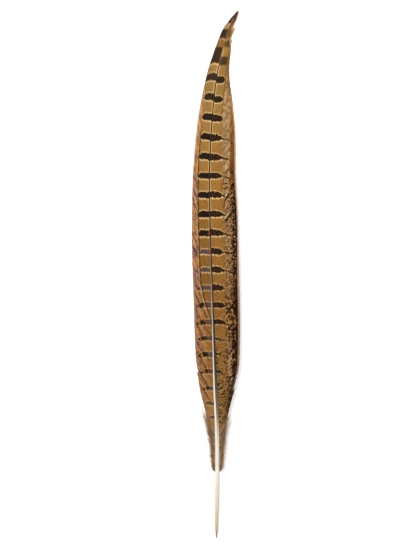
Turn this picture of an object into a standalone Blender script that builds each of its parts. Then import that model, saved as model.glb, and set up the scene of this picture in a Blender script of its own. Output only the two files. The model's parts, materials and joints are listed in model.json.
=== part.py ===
"""A cock pheasant's long central tail feather, lying with its barred upper side up.

The feather grew as one piece, so it is one solid. A tapered shaft runs along +Y
from the quill to the tip, bowed a little sideways and arched off the surface it
lies on. One thin sheet crosses it and is both vanes, parted into slanting locks.
Metres, +Z up, with the origin on the surface under the middle of the feather.
"""

import bmesh
import bpy
from mathutils import Vector

MM = 0.001

# Driving dimensions, in millimetres
LENGTH = 500.0
SHAFT_SIDES = 12
SHAFT_STATIONS = 39
QUILL_ROUNDING = (0.0, 2.0, 5.0, 11.0, 17.0, 24.0)
VANE_THICKNESS = 0.7
LOCKS_PER_SIDE = 28
COLUMNS_PER_SIDE = 7
FIRST_BARB = 62.0
LAST_BARB = 497.0

# Rows across one lock, as shares of its width, and how far each is lifted, which
# grows away from the shaft, drops again by the edge and is less on a narrow vane
LOCK_ROWS = (0.0, 0.45, 0.92)
LOCK_LIFTS = (-0.28, 0.0, 0.28)

LIFT_RISE = 4.0
LIFT_LOSS_AT_EDGE = 0.6
FULL_LIFT_WIDTH = 14.0

# Powers that bend a barb on its way out from the shaft, and round the vanes down
FORWARD_BEND = 1.15
OUTWARD_BEND = 0.85
DOME = 1.5

# Every table below goes by the distance from the quill's end, in millimetres.
# Sideways place and height of the shaft's centre line
SHAFT_SIDEWAYS = (
    (0, 0.3), (72, 1.2), (106, 0.8), (140, -0.5), (216, -3.1), (300, -5.7),
    (340, -6.3), (376, -5.0), (403, -3.1), (431, -0.2), (452, 3.6), (472, 8.9),
    (493, 16.9), (500, 20.9),
)
SHAFT_HEIGHT = (
    (0, 1.2), (11, 1.66), (30, 2.15), (100, 5.3), (200, 9.2), (300, 10.5),
    (380, 8.5), (431, 5.5), (470, 3.2), (500, 1.4),
)
SHAFT_RADIUS = (
    (0, 0.4), (5, 1.0), (11, 1.6), (23, 1.95), (55, 2.25), (80, 2.1), (134, 1.95),
    (176, 1.4), (217, 1.0), (257, 0.85), (320, 0.75), (500, 0.6),
)

# Height of both vanes' outer edges
EDGE_HEIGHT = (
    (62, 3.6), (100, 4.6), (200, 5.0), (300, 4.0), (380, 1.5), (415, 0.39),
    (445, 0.39), (475, 0.8), (500, 1.4),
)

# Width of each vane, from the shaft's centre line to its edge
LEFT_WIDTH = (
    (62, 2.2), (80, 3.6), (92, 4.7), (101, 6.9), (119, 10.3), (146, 15.5),
    (180, 18.0), (260, 18.0), (340, 16.0), (395, 14.0), (433, 10.4), (455, 7.0),
    (474, 5.5), (489, 2.8), (499, 0.35),
)
RIGHT_WIDTH = (
    (62, 2.2), (78, 3.8), (92, 5.6), (103, 7.3), (119, 11.4), (142, 18.2),
    (168, 24.0), (220, 25.6), (300, 26.2), (380, 23.3), (412, 18.4), (431, 13.5),
    (444, 10.4), (465, 8.1), (482, 5.1), (492, 2.7), (499, 0.35),
)

# Where a barb ends, by where it leaves the shaft
LEFT_BARB_END = (
    (62, 70.0), (75, 89.0), (92, 113.0), (130, 161.0), (200, 234.0), (430, 464.0),
    (450, 477.0), (466, 486.5), (480, 492.5), (490, 496.5), (497, 499.2),
)
RIGHT_BARB_END = (
    (62, 70.0), (75, 88.0), (92, 111.0), (130, 156.0), (200, 228.0), (430, 458.0),
    (450, 472.5), (466, 485.5), (480, 492.0), (490, 496.3), (497, 499.2),
)

# Depth of the nick between two locks, as a share of the vane's width there
NICK_DEPTH = ((62, 0.35), (92, 0.22), (120, 0.04), (440, 0.04), (466, 0.06), (480, 0.0))

# Two splits open the right edge near the tip, counted in locks from the quill
SPLIT_LOCKS = (25, 26)
SPLIT_DEPTH = 0.34

# Where the shaft's loose caps are closed, and which edges stay crisp
WELD_DISTANCE = 0.01
CRISP_ANGLE = 0.7

# Finish of the solid
HORN_BROWN = (0.36, 0.22, 0.09, 1.0)
HORN_ROUGHNESS = 0.6


def smooth(points, at):
    """The value at one place on a smooth curve that keeps between its points."""
    if at <= points[0][0]:
        return points[0][1]
    if at >= points[-1][0]:
        return points[-1][1]
    i = next(k for k in range(len(points) - 1) if at <= points[k + 1][0])
    slopes = [
        (b[1] - a[1]) / (b[0] - a[0]) for a, b in zip(points[:-1], points[1:])
    ]

    def tangent(k):
        if k == 0:
            return slopes[0]
        if k == len(points) - 1:
            return slopes[-1]
        before, after = slopes[k - 1], slopes[k]
        if before * after <= 0:
            return 0.0
        return 2 * before * after / (before + after)

    (x0, y0), (x1, y1) = points[i], points[i + 1]
    span = x1 - x0
    t = (at - x0) / span
    return (
        y0 * (1 + 2 * t) * (1 - t) ** 2
        + span * tangent(i) * t * (1 - t) ** 2
        + y1 * t * t * (3 - 2 * t)
        - span * tangent(i + 1) * t * t * (1 - t)
    )


def shaft_point(along):
    """A point of the shaft's centre line, in metres."""
    return MM * Vector(
        (
            smooth(SHAFT_SIDEWAYS, along),
            along - LENGTH / 2,
            smooth(SHAFT_HEIGHT, along),
        )
    )


def clear_scene():
    for obj in list(bpy.data.objects):
        bpy.data.objects.remove(obj, do_unlink=True)


def new_collection(name):
    collection = bpy.data.collections.new(name)
    bpy.context.scene.collection.children.link(collection)
    return collection


def horn_material():
    material = bpy.data.materials.new("feather_horn")
    material.use_nodes = True
    shader = material.node_tree.nodes["Principled BSDF"]
    shader.inputs["Base Color"].default_value = HORN_BROWN
    shader.inputs["Roughness"].default_value = HORN_ROUGHNESS
    shader.inputs["Metallic"].default_value = 0.0
    return material


def shaft_stations():
    """Places along the shaft: close together on the rounded quill end, then even."""
    first = QUILL_ROUNDING[-1]
    step = (LENGTH - first) / SHAFT_STATIONS
    return QUILL_ROUNDING + tuple(first + step * (i + 1) for i in range(SHAFT_STATIONS))


def shaft_mesh():
    """The quill and shaft as one tapered tube with closed ends."""
    curve = bpy.data.curves.new("shaft_path", "CURVE")
    curve.dimensions = "3D"
    curve.bevel_depth = MM
    curve.bevel_resolution = SHAFT_SIDES // 2 - 2
    curve.use_fill_caps = True
    spline = curve.splines.new("POLY")
    stations = shaft_stations()
    spline.points.add(len(stations) - 1)
    for point, along in zip(spline.points, stations):
        point.co = (*shaft_point(along), 1.0)
        point.radius = smooth(SHAFT_RADIUS, along)

    path = bpy.data.objects.new("shaft_path", curve)
    bpy.context.scene.collection.objects.link(path)
    graph = bpy.context.evaluated_depsgraph_get()
    mesh = bpy.data.meshes.new_from_object(path.evaluated_get(graph))
    bpy.data.objects.remove(path, do_unlink=True)

    shell = bmesh.new()
    shell.from_mesh(mesh)
    bmesh.ops.remove_doubles(shell, verts=shell.verts, dist=WELD_DISTANCE * MM)
    bmesh.ops.recalc_face_normals(shell, faces=shell.faces)
    shell.to_mesh(mesh)
    shell.free()
    return mesh


def barb_root(row):
    """Where along the shaft a row of the sheet starts, and how far it is lifted."""
    lock, place = divmod(row, len(LOCK_ROWS))
    if lock == LOCKS_PER_SIDE:
        return LAST_BARB, LOCK_LIFTS[0]
    lock_width = (LAST_BARB - FIRST_BARB) / LOCKS_PER_SIDE
    along = FIRST_BARB + lock_width * (lock + LOCK_ROWS[place])
    return along, LOCK_LIFTS[place]


def row_reach(row, along, right_side):
    """How much of the vane's width this row reaches: less beside a nick or split."""
    lock, place = divmod(row, len(LOCK_ROWS))
    if place != 0 or lock in (0, LOCKS_PER_SIDE):
        return 1.0
    if right_side and lock in SPLIT_LOCKS:
        return 1.0 - SPLIT_DEPTH
    return 1.0 - smooth(NICK_DEPTH, along)


def vane_point(row, out, right_side):
    """A point of the sheet: out runs from 0 at the shaft to 1 at the vane's edge."""
    root, lift = barb_root(row)
    end = smooth(RIGHT_BARB_END if right_side else LEFT_BARB_END, root)
    share = out * row_reach(row, root, right_side)
    along = root + (end - root) * share**FORWARD_BEND
    spread = share**OUTWARD_BEND
    width = smooth(RIGHT_WIDTH if right_side else LEFT_WIDTH, along)
    sideways = spread * width * (1 if right_side else -1)
    middle = smooth(SHAFT_HEIGHT, along)
    edge = smooth(EDGE_HEIGHT, along)
    height = middle + (edge - middle) * spread**DOME
    fade = LIFT_RISE * spread * (1 - LIFT_LOSS_AT_EDGE * spread)
    fade *= min(1.0, width / FULL_LIFT_WIDTH) ** 2
    return MM * Vector(
        (
            smooth(SHAFT_SIDEWAYS, along) + sideways,
            along - LENGTH / 2,
            height + lift * min(1.0, fade),
        )
    )


def vanes_mesh():
    """Both vanes as one sheet, a grid whose rows run out and forward like barbs."""
    rows = LOCKS_PER_SIDE * len(LOCK_ROWS)
    columns = 2 * COLUMNS_PER_SIDE
    sheet = bmesh.new()
    bmesh.ops.create_grid(sheet, x_segments=columns, y_segments=rows, size=1.0)
    for vertex in sheet.verts:
        column = round((vertex.co.x + 1) / 2 * columns) - COLUMNS_PER_SIDE
        row = round((vertex.co.y + 1) / 2 * rows)
        out = abs(column) / COLUMNS_PER_SIDE
        vertex.co = vane_point(row, out, column > 0)
    mesh = bpy.data.meshes.new("vanes")
    sheet.to_mesh(mesh)
    sheet.free()
    return mesh


def make_vanes(collection):
    """The sheet with its thickness, kept as the shape that the shaft is joined to."""
    vanes = bpy.data.objects.new("vane_sheet", vanes_mesh())
    collection.objects.link(vanes)
    wall = vanes.modifiers.new("thickness", "SOLIDIFY")
    wall.thickness = VANE_THICKNESS * MM
    wall.offset = 0.0
    vanes.hide_render = True
    vanes.display_type = "WIRE"
    return vanes


def make_feather(collection, vanes, material):
    """The whole feather: the shaft with the vanes joined on in one solid."""
    mesh = shaft_mesh()
    mesh.materials.clear()
    mesh.materials.append(material)
    mesh.shade_smooth()
    mesh.set_sharp_from_angle(angle=CRISP_ANGLE)
    feather = bpy.data.objects.new("feather", mesh)
    collection.objects.link(feather)
    union = feather.modifiers.new("vanes_joined_on", "BOOLEAN")
    union.operation = "UNION"
    union.solver = "EXACT"
    union.object = vanes
    return feather


def main():
    clear_scene()
    parts = new_collection("pheasant_tail_feather")
    helpers = new_collection("helpers")
    vanes = make_vanes(helpers)
    make_feather(parts, vanes, horn_material())


main()
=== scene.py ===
"""Looks of a cock pheasant's tail feather: its shaft, its barbs one by one, and its down."""

import json
import math

import bmesh
import bpy
import numpy as np
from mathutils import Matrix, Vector

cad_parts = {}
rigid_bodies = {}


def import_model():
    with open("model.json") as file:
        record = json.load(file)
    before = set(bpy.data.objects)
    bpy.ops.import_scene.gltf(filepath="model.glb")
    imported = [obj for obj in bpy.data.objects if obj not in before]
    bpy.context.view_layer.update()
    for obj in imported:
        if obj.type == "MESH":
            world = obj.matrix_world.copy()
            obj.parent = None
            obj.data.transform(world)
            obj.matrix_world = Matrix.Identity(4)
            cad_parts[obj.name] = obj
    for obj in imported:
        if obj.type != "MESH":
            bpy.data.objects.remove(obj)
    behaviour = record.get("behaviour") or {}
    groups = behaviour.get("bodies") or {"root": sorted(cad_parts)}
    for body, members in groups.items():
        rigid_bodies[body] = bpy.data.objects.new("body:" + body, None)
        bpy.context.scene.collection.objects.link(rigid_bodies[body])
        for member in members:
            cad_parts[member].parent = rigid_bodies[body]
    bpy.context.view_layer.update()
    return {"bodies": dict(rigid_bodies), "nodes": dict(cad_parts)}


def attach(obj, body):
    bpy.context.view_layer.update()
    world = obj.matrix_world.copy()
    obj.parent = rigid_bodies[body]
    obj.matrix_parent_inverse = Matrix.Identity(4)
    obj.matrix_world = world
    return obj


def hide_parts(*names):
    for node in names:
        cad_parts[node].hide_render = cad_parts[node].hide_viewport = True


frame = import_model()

bl_info = {
    "name": "Pheasant tail feather",
    "version": (1, 0, 0),
    "blender": (4, 5, 0),
    "location": "3D View > Sidebar > Feather",
    "description": "Builds a barred pheasant tail feather, barb by barb, around its packed solid",
    "category": "Object",
}

MM = 0.001
BODY = next(iter(frame["bodies"]))
NODE = next(iter(frame["nodes"]))

# The feather's lines in millimetres, by the distance from the quill's end. They are the
# solid's, fitted more closely near the tip and along the wide vane's edge
LENGTH = 500.0
FIRST_BARB = 62.0
LAST_BARB = 497.0
SHAFT_SIDEWAYS = (
    (0, 0.3), (72, 1.2), (106, 0.8), (140, -0.5), (216, -3.1), (300, -5.7),
    (340, -6.3), (376, -5.0), (403, -3.1), (431, -0.2), (452, 3.6), (472, 8.7),
    (483, 12.0), (492, 15.8), (500, 20.9),
)
SHAFT_HEIGHT = (
    (0, 1.2), (11, 1.66), (30, 2.15), (100, 5.3), (200, 9.2), (300, 10.5),
    (380, 8.5), (431, 5.5), (470, 3.2), (500, 1.4),
)
SHAFT_RADIUS = (
    (0, 0.4), (5, 1.0), (11, 1.6), (23, 1.95), (55, 2.25), (80, 2.1), (134, 1.95),
    (176, 1.4), (217, 1.0), (257, 0.8), (320, 0.62), (430, 0.5), (460, 0.36),
    (492, 0.34), (500, 0.22),
)
EDGE_HEIGHT = (
    (62, 3.6), (100, 4.6), (200, 5.0), (300, 4.0), (380, 1.5), (415, 0.39),
    (445, 0.39), (475, 0.8), (500, 1.4),
)
WIDTH = {
    "left": (
        (62, 2.2), (80, 3.6), (92, 4.7), (101, 6.9), (119, 10.3), (146, 15.5),
        (180, 18.0), (260, 18.0), (340, 16.0), (395, 14.0), (433, 10.4), (440, 9.9),
        (448, 9.3), (455, 8.4), (465, 7.5), (474, 6.5), (480, 5.9), (485, 4.9),
        (489, 3.3), (493, 2.3), (496, 1.5), (500, 0.6),
    ),
    "right": (
        (62, 2.2), (78, 3.8), (92, 5.6), (103, 7.3), (119, 11.4), (142, 18.2),
        (168, 24.0), (220, 26.1), (300, 26.7), (340, 25.4), (380, 23.3), (412, 18.4),
        (431, 13.5), (444, 10.5), (452, 9.2), (459, 8.4), (464, 7.7), (470, 5.7),
        (476, 5.1), (481, 4.8), (485, 3.8), (489, 3.6), (493, 3.1), (497, 1.8), (500, 0.6),
    ),
}
BARB_END = {
    "left": (
        (62, 70.0), (75, 89.0), (92, 113.0), (130, 161.0), (200, 234.0), (430, 464.0),
        (450, 477.0), (466, 486.5), (480, 492.5), (490, 496.8), (497, 500.2),
    ),
    "right": (
        (62, 70.0), (75, 88.0), (92, 111.0), (130, 156.0), (200, 228.0), (430, 458.0),
        (450, 472.8), (466, 484.4), (480, 492.3), (490, 496.8), (497, 500.2),
    ),
}

# Powers that bend a barb on its way out from the shaft, and round the vanes down
FORWARD_BEND = 1.15
OUTWARD_BEND = 0.85
DOME = 1.5

# Where the barbs of the vanes start and those of the down end
FIRST_VANE_BARB = 90.0
LAST_DOWN_BARB = 101.0

# The shortest barbs of the vanes and of the down, as shares of the longest
SHORTEST_VANE_BARB = 0.975
SHORTEST_DOWN_BARB = 0.4

# Splits in a vane's edge: where the parting barbs leave the shaft, how far they lean
# away from it, over what length of shaft that fades, how much shorter the barbs above
# the split are and how much longer those below it
SPLITS = {
    "left": ((128.0, 0.9, 4.0, 0.06, 0.03), (343.0, 0.4, 6.0, 0.02, 0.02)),
    "right": ((118.0, 0.7, 5.0, 0.05, 0.04),),
}

# Notches in the right edge near the tip, in millimetres: where the barbs part, how far
# outward and forward the last barb below ends, and how far inward and back the first above.
# A notch bends the outer part of the barbs, over these lengths of shaft below and above it
NOTCHES = {
    "left": (),
    "right": (
        (450.8, 1.2, 0.9, 1.5, 0.8), (466.3, 2.3, 1.7, 1.3, 1.4), (483.0, 0.5, 0.4, 0.3, 0.4),
    ),
}
NOTCH_STARTS = 0.6
NOTCH_BELOW = 5.0
NOTCH_ABOVE = 3.2

# The guide sheets reach past the vane's edge, for barb tips that stick out. Their rows
# crowd towards the tip, where the notches are
GUIDE_REACH = 1.25
GUIDE_ROWS = 360
GUIDE_COLUMNS = 30
GUIDE_CROWDING = 1.6

# How barbs lie: out of step by a share of their spacing, turned by an angle, pulled into
# locks, and pushed off a split, most of it on the side above. Nothing lies below the least
# height, in metres
BARB_JITTER = 0.12
BARB_TURN = 0.07
LOCK_PULL = 0.12
LOCK_PULL_POWER = 3.0
SPLIT_POWER = 2.2
SPLIT_SHARE_BELOW = 0.25
LEAST_HEIGHT = 0.0003

# The flat maps for baked colours have this many strips side by side. The barbs' upper
# faces take the first ones and their lower faces the others
MAP_STRIPS = 8
UPPER_STRIPS = 6

# Rings of the shaft crowd on the rounded end of the quill
RING_CROWDING = 1.35

# The groove along the shaft's back: its depth, middle and width as shares of the radius
GROOVE_DEPTH = 0.32
GROOVE_MIDDLE = 0.28
GROOVE_WIDTH = 0.3
GROOVE_LENGTH = ((70, 0.0), (110, 1.0), (240, 1.0), (290, 0.0))

VANE_ROUGHNESS = 0.6
VANE_SHINE = 0.07

# Dark bars: how many millimetres back from the tip a bar of some number lies. They
# close up towards the quill, by a loss for each bar, and nearer the tip than the third
# bar the pattern is another one
BAR_NUMBERS = (
    (44, 2), (63.3, 3), (119.5, 6), (174.6, 9), (228.3, 12), (279, 15), (326, 18),
    (373, 21), (398.5, 23), (430, 26),
)
BAR_SPACING = 19.6
BAR_SPACING_LOSS = 0.27
TIP_PATTERN_ENDS = 55.0

# Barbs of the narrow vane low down: lines of painted shadow between locks, then amber barbs. Where
# each leaves the shaft, where its line starts and ends across the vane, and half its width
LOCK_SHADOW_BARBS = (
    (190.0, 0.5, 13.0, 0.7), (203.0, 5.0, 17.0, 0.8), (176.0, 8.0, 17.0, 1.0),
    (163.0, 4.0, 10.0, 0.6), (150.0, 7.0, 16.0, 1.1), (133.0, 5.0, 15.0, 1.3),
    (121.0, 4.0, 12.0, 1.0), (214.0, 9.0, 16.0, 0.6),
)
AMBER_BARBS = (
    (197.0, 6.0, 16.0, 1.9), (182.0, 7.0, 14.0, 1.9), (170.0, 4.0, 13.0, 1.9),
    (156.0, 7.0, 15.0, 1.9), (141.0, 5.0, 13.0, 1.9), (126.5, 3.0, 11.0, 1.9),
)

# Painted shadows where barbs of the wide vane part: where the barb leaves the shaft, where the
# shadow starts and ends across the vane, and how bright the painted highlight on the barb beside it
# is
PARTING_SHADOWS = (
    (306.0, 14.5, 18.5, 0.85), (287.2, 14.0, 20.0, 0.85), (330.0, 14.5, 17.0, 0.5),
    (203.0, 14.0, 22.0, 0.0), (162.0, 13.0, 21.0, 0.0), (136.0, 12.0, 18.0, 0.0),
)


def srgb(red, green, blue):
    """A colour picked in 0 to 255, as the linear values that Blender works in."""
    def linear(value):
        value /= 255
        return value / 12.92 if value <= 0.04045 else ((value + 0.055) / 1.055) ** 2.4

    return linear(red), linear(green), linear(blue)


SOOT = srgb(26, 16, 10)


def smooth(points, at):
    """The value at one place on a smooth curve that keeps between its points."""
    if at <= points[0][0]:
        return points[0][1]
    if at >= points[-1][0]:
        return points[-1][1]
    i = next(k for k in range(len(points) - 1) if at <= points[k + 1][0])
    slopes = [
        (b[1] - a[1]) / (b[0] - a[0]) for a, b in zip(points[:-1], points[1:])
    ]

    def tangent(k):
        if k == 0:
            return slopes[0]
        if k == len(points) - 1:
            return slopes[-1]
        before, after = slopes[k - 1], slopes[k]
        if before * after <= 0:
            return 0.0
        return 2 * before * after / (before + after)

    (x0, y0), (x1, y1) = points[i], points[i + 1]
    span = x1 - x0
    t = (at - x0) / span
    return (
        y0 * (1 + 2 * t) * (1 - t) ** 2
        + span * tangent(i) * t * (1 - t) ** 2
        + y1 * t * t * (3 - 2 * t)
        - span * tangent(i + 1) * t * t * (1 - t)
    )


def colour_property(name, description, default):
    return bpy.props.FloatVectorProperty(
        name=name, description=description, default=default, subtype="COLOR",
        size=3, min=0.0, max=1.0,
    )


def length_property(name, description, default):
    return bpy.props.FloatProperty(
        name=name, description=description, default=default, min=0.0,
        unit="LENGTH", precision=5,
    )


def count_property(name, description, default, most):
    return bpy.props.IntProperty(
        name=name, description=description, default=default, min=2, max=most
    )


class FeatherSizes(bpy.types.PropertyGroup):
    """Sizes and counts of the feather's fine parts."""

    barbs: count_property("Barbs", "Barbs in each vane", 900, 2000)
    barb_points: count_property("Points", "Points along each barb", 14, 40)
    barb_width: length_property("Barb width", "Width of a barb with its barbules", 0.00066)
    barb_depth: length_property("Barb depth", "Height of a barb's ridge", 0.0002)
    lock_width: length_property("Lock width", "Length of shaft that one lock takes", 0.0085)
    lock_lift: length_property("Lock lift", "How far a lock's outer end rides up", 0.0005)
    down_barbs: count_property("Down", "Downy barbs on each side of the quill", 850, 1200)
    down_width: length_property("Down width", "Width of a downy barb", 0.00012)
    down_fluff: length_property("Down fluff", "How far the down strays", 0.016)
    down_spread: length_property("Down spread", "How far the down starts off the quill", 0.0028)
    shaft_sides: count_property("Shaft sides", "Points round the shaft", 28, 64)
    shaft_stations: count_property("Shaft rings", "Rings along the shaft", 170, 400)


class FeatherColours(bpy.types.PropertyGroup):
    """Colours of the vanes, the shaft and the down."""

    gold_tip: colour_property("Gold, tip", "Ground colour near the tip", srgb(162, 123, 63))
    gold_middle: colour_property("Gold, middle", "Ground colour half way", srgb(164, 114, 50))
    gold_base: colour_property("Gold, base", "Ground colour near the quill", srgb(150, 102, 42))
    bar_tip: colour_property("Bar, tip", "Bars near the tip", srgb(56, 38, 23))
    bar_brown: colour_property("Bar", "Dark bars", srgb(30, 19, 11))
    bar_slate: colour_property("Slate bar", "Bars by the lower shaft", srgb(86, 68, 68))
    cream: colour_property("Cream", "Fine line round each bar", srgb(242, 206, 140))
    buff: colour_property("Buff", "Pale zone of the wide vane", srgb(160, 124, 76))
    dark_buff: colour_property("Dark buff", "Speckled zone, lower down", srgb(172, 126, 76))
    rufous: colour_property("Rufous", "Outer zone of the wide vane", srgb(126, 70, 30))
    rim: colour_property("Rim", "Pale line along the outer edge", srgb(182, 140, 108))
    blush: colour_property("Blush", "Outer zone of the narrow vane", srgb(190, 140, 92))
    amber: colour_property("Amber", "Flecks of the outer zone", srgb(170, 108, 36))
    mauve: colour_property("Mauve", "Patches near the bars", srgb(106, 74, 80))
    ivory: colour_property("Ivory", "Quill", srgb(255, 249, 234))
    down: colour_property("Down", "Down at the base", srgb(214, 186, 152))


class FeatherStage(bpy.types.PropertyGroup):
    """Camera, lights and floor."""

    camera_height: length_property("Camera height", "Height above the floor", 2.6)
    picture_height: length_property("Picture height", "Height of floor seen", 0.5266)
    picture_x: bpy.props.FloatProperty(
        name="Centre X", description="Middle of the picture, across", default=-0.0076,
        unit="LENGTH", precision=5,
    )
    picture_y: bpy.props.FloatProperty(
        name="Centre Y", description="Middle of the picture, along", default=-0.0028,
        unit="LENGTH", precision=5,
    )
    key_strength: bpy.props.FloatProperty(
        name="Key light", description="Power of the soft light on the left, in watts",
        default=18.5, min=0.0,
    )
    sky_strength: bpy.props.FloatProperty(
        name="Sky", description="Strength of the even white light", default=0.37, min=0.0
    )


class Graph:
    """Short ways to add the nodes of one tree and join them.

    Where a value is asked for, a number or another node's output can be given.
    """

    def __init__(self, tree):
        self.tree = tree

    def node(self, kind, inputs=None, **settings):
        made = self.tree.nodes.new(kind)
        for name, value in settings.items():
            setattr(made, name, value)
        for name, value in (inputs or {}).items():
            self.feed(made.inputs[name], value)
        return made

    def feed(self, socket, value):
        if isinstance(value, bpy.types.NodeSocket):
            self.tree.links.new(value, socket)
        else:
            socket.default_value = value

    def math(self, operation, *values, clamp=False):
        inputs = dict(enumerate(values))
        made = self.node("ShaderNodeMath", inputs, operation=operation, use_clamp=clamp)
        return made.outputs[0]

    def add(self, first, second):
        return self.math("ADD", first, second)

    def sub(self, first, second):
        return self.math("SUBTRACT", first, second)

    def mul(self, first, *others):
        for other in others:
            first = self.math("MULTIPLY", first, other)
        return first

    def divide(self, first, second):
        return self.math("DIVIDE", first, second)

    def most(self, first, second):
        return self.math("MAXIMUM", first, second)

    def within(self, value, low, high):
        return self.math("MINIMUM", self.most(value, low), high)

    def step(self, value, low, high, start=0.0, end=1.0):
        """A soft step from start to end as the value goes from low to high."""
        made = self.node("ShaderNodeMapRange", interpolation_type="SMOOTHSTEP")
        for socket, given in zip(made.inputs, (value, low, high, start, end)):
            self.feed(socket, given)
        return made.outputs[0]

    def band(self, value, low, high, soft):
        """1 between low and high and 0 outside, with soft edges."""
        rising = self.step(value, self.sub(low, soft), self.add(low, soft))
        falling = self.step(value, self.sub(high, soft), self.add(high, soft), 1.0, 0.0)
        return self.mul(rising, falling)

    def vector(self, x=0.0, y=0.0, z=0.0):
        return self.node("ShaderNodeCombineXYZ", {0: x, 1: y, 2: z}).outputs[0]


class Shader(Graph):
    """Nodes of a material."""

    def attribute(self, name):
        return self.node("ShaderNodeAttribute", attribute_name=name).outputs["Fac"]

    def noise(self, first, first_scale, second, second_scale, seed=0.0, detail=2.0, roughness=0.6):
        """Noise over two numbers, each with its own scale. Another seed gives another noise."""
        place = self.vector(self.mul(first, first_scale), self.mul(second, second_scale), seed)
        inputs = {"Vector": place, "Scale": 1.0, "Detail": detail, "Roughness": roughness}
        return self.node("ShaderNodeTexNoise", inputs, noise_dimensions="3D").outputs["Fac"]

    def chance(self, value):
        """A fixed random number from 0 to 1 for each whole number."""
        made = self.node("ShaderNodeTexWhiteNoise", {"W": value}, noise_dimensions="1D")
        return made.outputs["Value"]

    def mix(self, share, first, second, blend="MIX"):
        made = self.node("ShaderNodeMix", data_type="RGBA", blend_type=blend)
        self.feed(made.inputs["Factor"], share)
        for name, value in ((6, first), (7, second)):
            given = value if isinstance(value, bpy.types.NodeSocket) else (*value, 1.0)
            self.feed(made.inputs[name], given)
        return made.outputs[2]

    def over(self, under, colour, *shares):
        """A colour laid over another, as strongly as the shares multiplied together."""
        return self.mix(self.mul(*shares), under, colour)

    def ramp(self, value, stops):
        """Colours along a value, each stop a place from 0 to 1 and a colour."""
        made = self.node("ShaderNodeValToRGB", {"Fac": value})
        band = made.color_ramp.elements
        while len(band) < len(stops):
            band.new(1.0)
        for element, (place, colour) in zip(band, stops):
            element.position = place
            element.color = (*colour, 1.0)
        return made.outputs["Color"]

    def curve(self, value, points, low, high):
        """A smooth curve through (place, height) points. Both are scaled to 0 to 1 inside."""
        start, span = points[0][0], points[-1][0] - points[0][0]
        share = self.math("DIVIDE", self.sub(value, start), span, clamp=True)
        made = self.node("ShaderNodeFloatCurve", {"Value": share})
        line = made.mapping.curves[0]
        scaled = [((at - start) / span, (height - low) / (high - low)) for at, height in points]
        line.points[0].location = scaled[0]
        line.points[1].location = scaled[-1]
        for place in scaled[1:-1]:
            line.points.new(*place)
        made.mapping.update()
        return self.add(self.mul(made.outputs[0], high - low), low)


class Geometry(Graph):
    """Nodes of a Geometry Nodes tree."""

    def vectors(self, operation, first, second):
        inputs = {0: first, 1: second}
        return self.node("ShaderNodeVectorMath", inputs, operation=operation).outputs[0]

    def named(self, name, data_type="FLOAT"):
        made = self.node("GeometryNodeInputNamedAttribute", {"Name": name}, data_type=data_type)
        return made.outputs["Attribute"]

    def store(self, geometry, name, value):
        """The geometry with a value kept under a name on its points."""
        inputs = {"Geometry": geometry, "Name": name, "Value": value}
        made = self.node("GeometryNodeStoreNamedAttribute", inputs)
        return made.outputs["Geometry"]

    def sampled(self, surface, value, place, data_type="FLOAT"):
        """A value read off the guide sheet at a place on its map."""
        made = self.node("GeometryNodeSampleUVSurface", {"Mesh": surface}, data_type=data_type)
        self.feed(made.inputs["Value"], value)
        self.feed(made.inputs["UV Map"], self.named("guide", "FLOAT_VECTOR"))
        self.feed(made.inputs["Sample UV"], place)
        return made.outputs["Value"]

    def random(self, low, high, which, seed):
        made = self.node("FunctionNodeRandomValue", data_type="FLOAT")
        found = {s.name: s for s in made.inputs if s.enabled}
        for name, value in (("Min", low), ("Max", high), ("ID", which), ("Seed", seed)):
            self.feed(found[name], value)
        return next(s for s in made.outputs if s.enabled)


def beside_notches(side, root, out):
    """How far outward and forward the notches push a point of a barb."""
    outward = forward = 0.0
    bend = (max(0.0, out - NOTCH_STARTS) / (1.0 - NOTCH_STARTS)) ** 2
    for place, out_below, forward_below, in_above, back_above in NOTCHES[side]:
        if root <= place:
            near = math.exp(-(((root - place) / NOTCH_BELOW) ** 2)) * bend
            outward += out_below * near
            forward += forward_below * near
        else:
            near = math.exp((place - root) / NOTCH_ABOVE) * bend
            outward -= in_above * near
            forward -= back_above * near
    return outward, forward


def vane_place(side, root, out):
    """A point of a vane and its facts: out runs from 0 at the shaft to 1 at the edge."""
    end = smooth(BARB_END[side], root)
    along = min(root + (end - root) * out**FORWARD_BEND, LENGTH + 0.2)
    spread = out**OUTWARD_BEND
    width = smooth(WIDTH[side], along)
    across = spread * width
    middle = smooth(SHAFT_HEIGHT, along)
    edge = smooth(EDGE_HEIGHT, along)
    height = middle + (edge - middle) * min(spread, 1.0) ** DOME
    outward, forward = beside_notches(side, root, out)
    at = min(along + forward, LENGTH + 0.2)
    sideways = smooth(SHAFT_SIDEWAYS, at) + (across + outward) * (1 if side == "right" else -1)
    return Vector((sideways, at - LENGTH / 2, height)) * MM, along, across, width


def guide_sheet(side):
    """The sheet that a vane's barbs lie in, with a map of root and reach on it."""
    sheet = bmesh.new()
    bmesh.ops.create_grid(sheet, x_segments=GUIDE_COLUMNS, y_segments=GUIDE_ROWS, size=1.0)
    facts = {}
    for vertex in sheet.verts:
        reach = (vertex.co.x + 1) / 2
        share = 1.0 - max(0.0, (1 - vertex.co.y) / 2) ** GUIDE_CROWDING
        root = FIRST_BARB + share * (LAST_BARB - FIRST_BARB)
        vertex.co, along, across, width = vane_place(side, root, reach * GUIDE_REACH)
        facts[vertex.index] = (share, reach, along, across, width)
    mesh = bpy.data.meshes.new(f"{side}_guide")
    sheet.to_mesh(mesh)
    sheet.free()
    for number, name in ((2, "along"), (3, "across"), (4, "width")):
        values = mesh.attributes.new(name, "FLOAT", "POINT")
        values.data.foreach_set("value", [facts[v.index][number] for v in mesh.vertices])
    guide = mesh.uv_layers.new(name="guide")
    for loop in mesh.loops:
        guide.uv[loop.index].vector = facts[loop.vertex_index][:2]
    return mesh


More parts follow.
